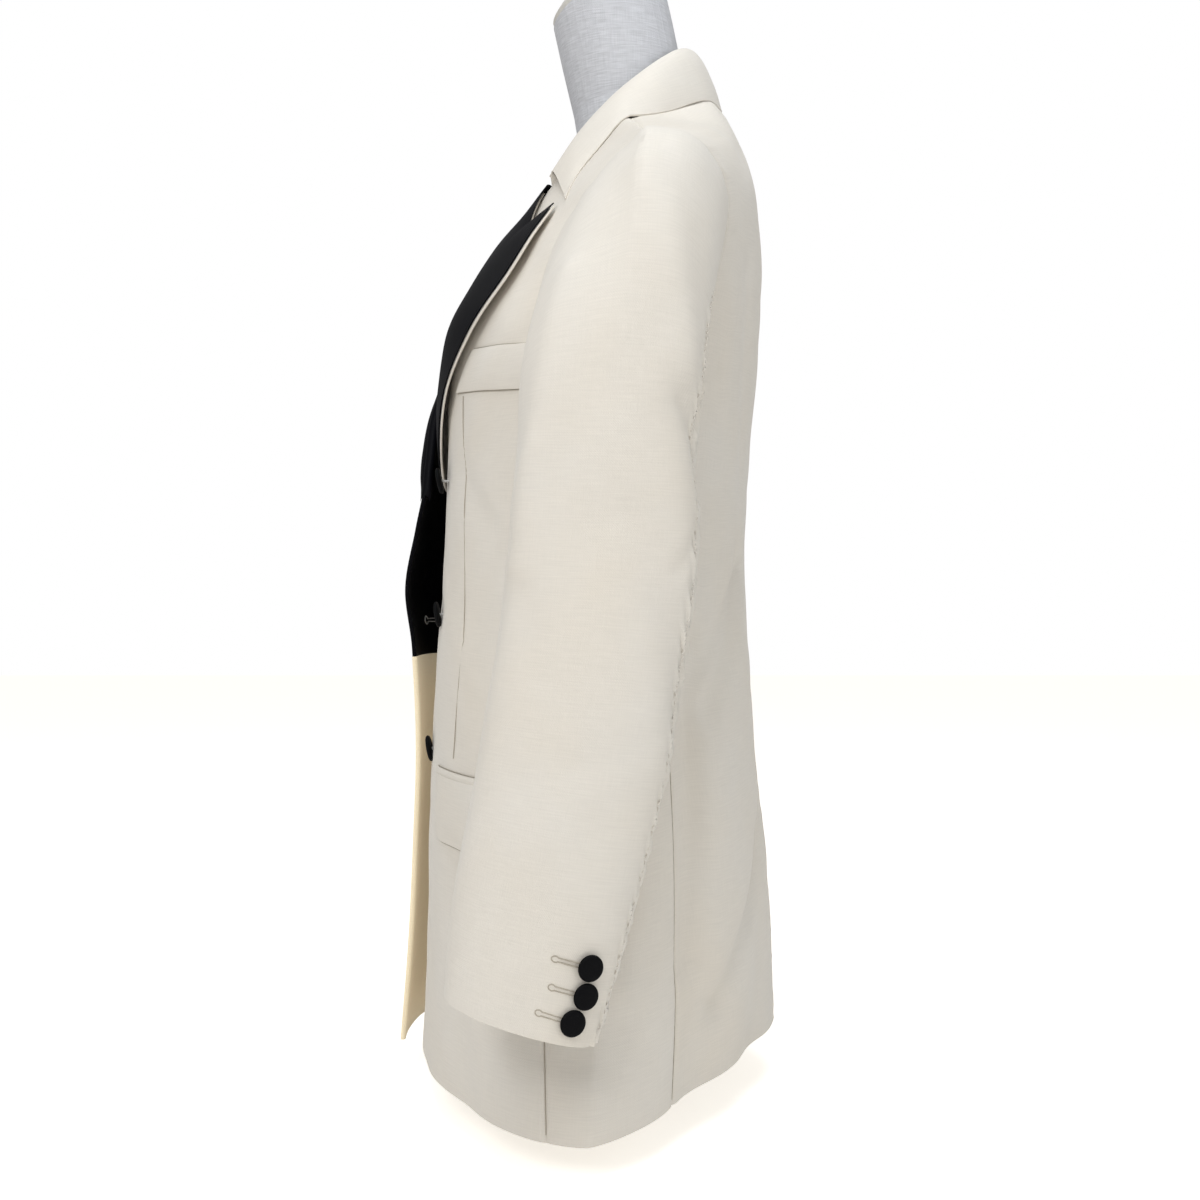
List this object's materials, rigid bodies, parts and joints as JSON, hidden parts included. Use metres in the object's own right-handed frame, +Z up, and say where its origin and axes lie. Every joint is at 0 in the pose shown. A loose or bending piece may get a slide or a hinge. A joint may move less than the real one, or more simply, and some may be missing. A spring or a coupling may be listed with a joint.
{
  "type": "double breasted blazer on dress form",
  "caption": "Pale double breasted blazer with dark satin peak lapels, flap pockets and long sleeves, worn open on a limbless dress form.",
  "frame": {"origin": "middle of the whole part's box, on the floor under the form's base", "axes": "+Z up, the front of the coat faces -Y, the wearer's left is +X"},
  "size_m": [0.5888, 0.2956, 0.8813],
  "materials": {
    "suiting": "fine plain weave, matte",
    "satin": "satin, soft sheen",
    "button": "covered in dark cloth",
    "linen": "plain linen, matte",
    "cap": "smooth",
    "steel": "brushed"
  },
  "bodies": {
    "root": {"back_left": "suiting", "back_right": "suiting", "button_cuff_left_1": "button", "button_cuff_left_2": "button", "button_cuff_left_3": "button", "button_cuff_right_1": "button", "button_cuff_right_2": "button", "button_cuff_right_3": "button", "button_front_left_1": "button", "button_front_left_2": "button", "button_front_left_3": "button", "button_front_right_1": "button", "button_front_right_2": "button", "button_front_right_3": "button", "chest_welt": "suiting", "collar_leaf": "suiting", "collar_stand": "suiting", "facing_cloth_right": "suiting", "facing_satin_right": "satin", "form_base": "steel", "form_cap": "cap", "form_stem": "steel", "form_torso": "linen", "front_left": "suiting", "front_right": "suiting", "lapel_satin_left": "satin", "lapel_satin_right": "satin", "lapel_under_left": "suiting", "lapel_under_right": "suiting", "pocket_flap_left": "suiting", "pocket_flap_right": "suiting", "pocket_jet_left": "suiting", "pocket_jet_right": "suiting", "side_left": "suiting", "side_right": "suiting", "sleeve_under_left": "suiting", "sleeve_under_right": "suiting", "sleeve_upper_left": "suiting", "sleeve_upper_right": "suiting"}
  },
  "joints": []
}
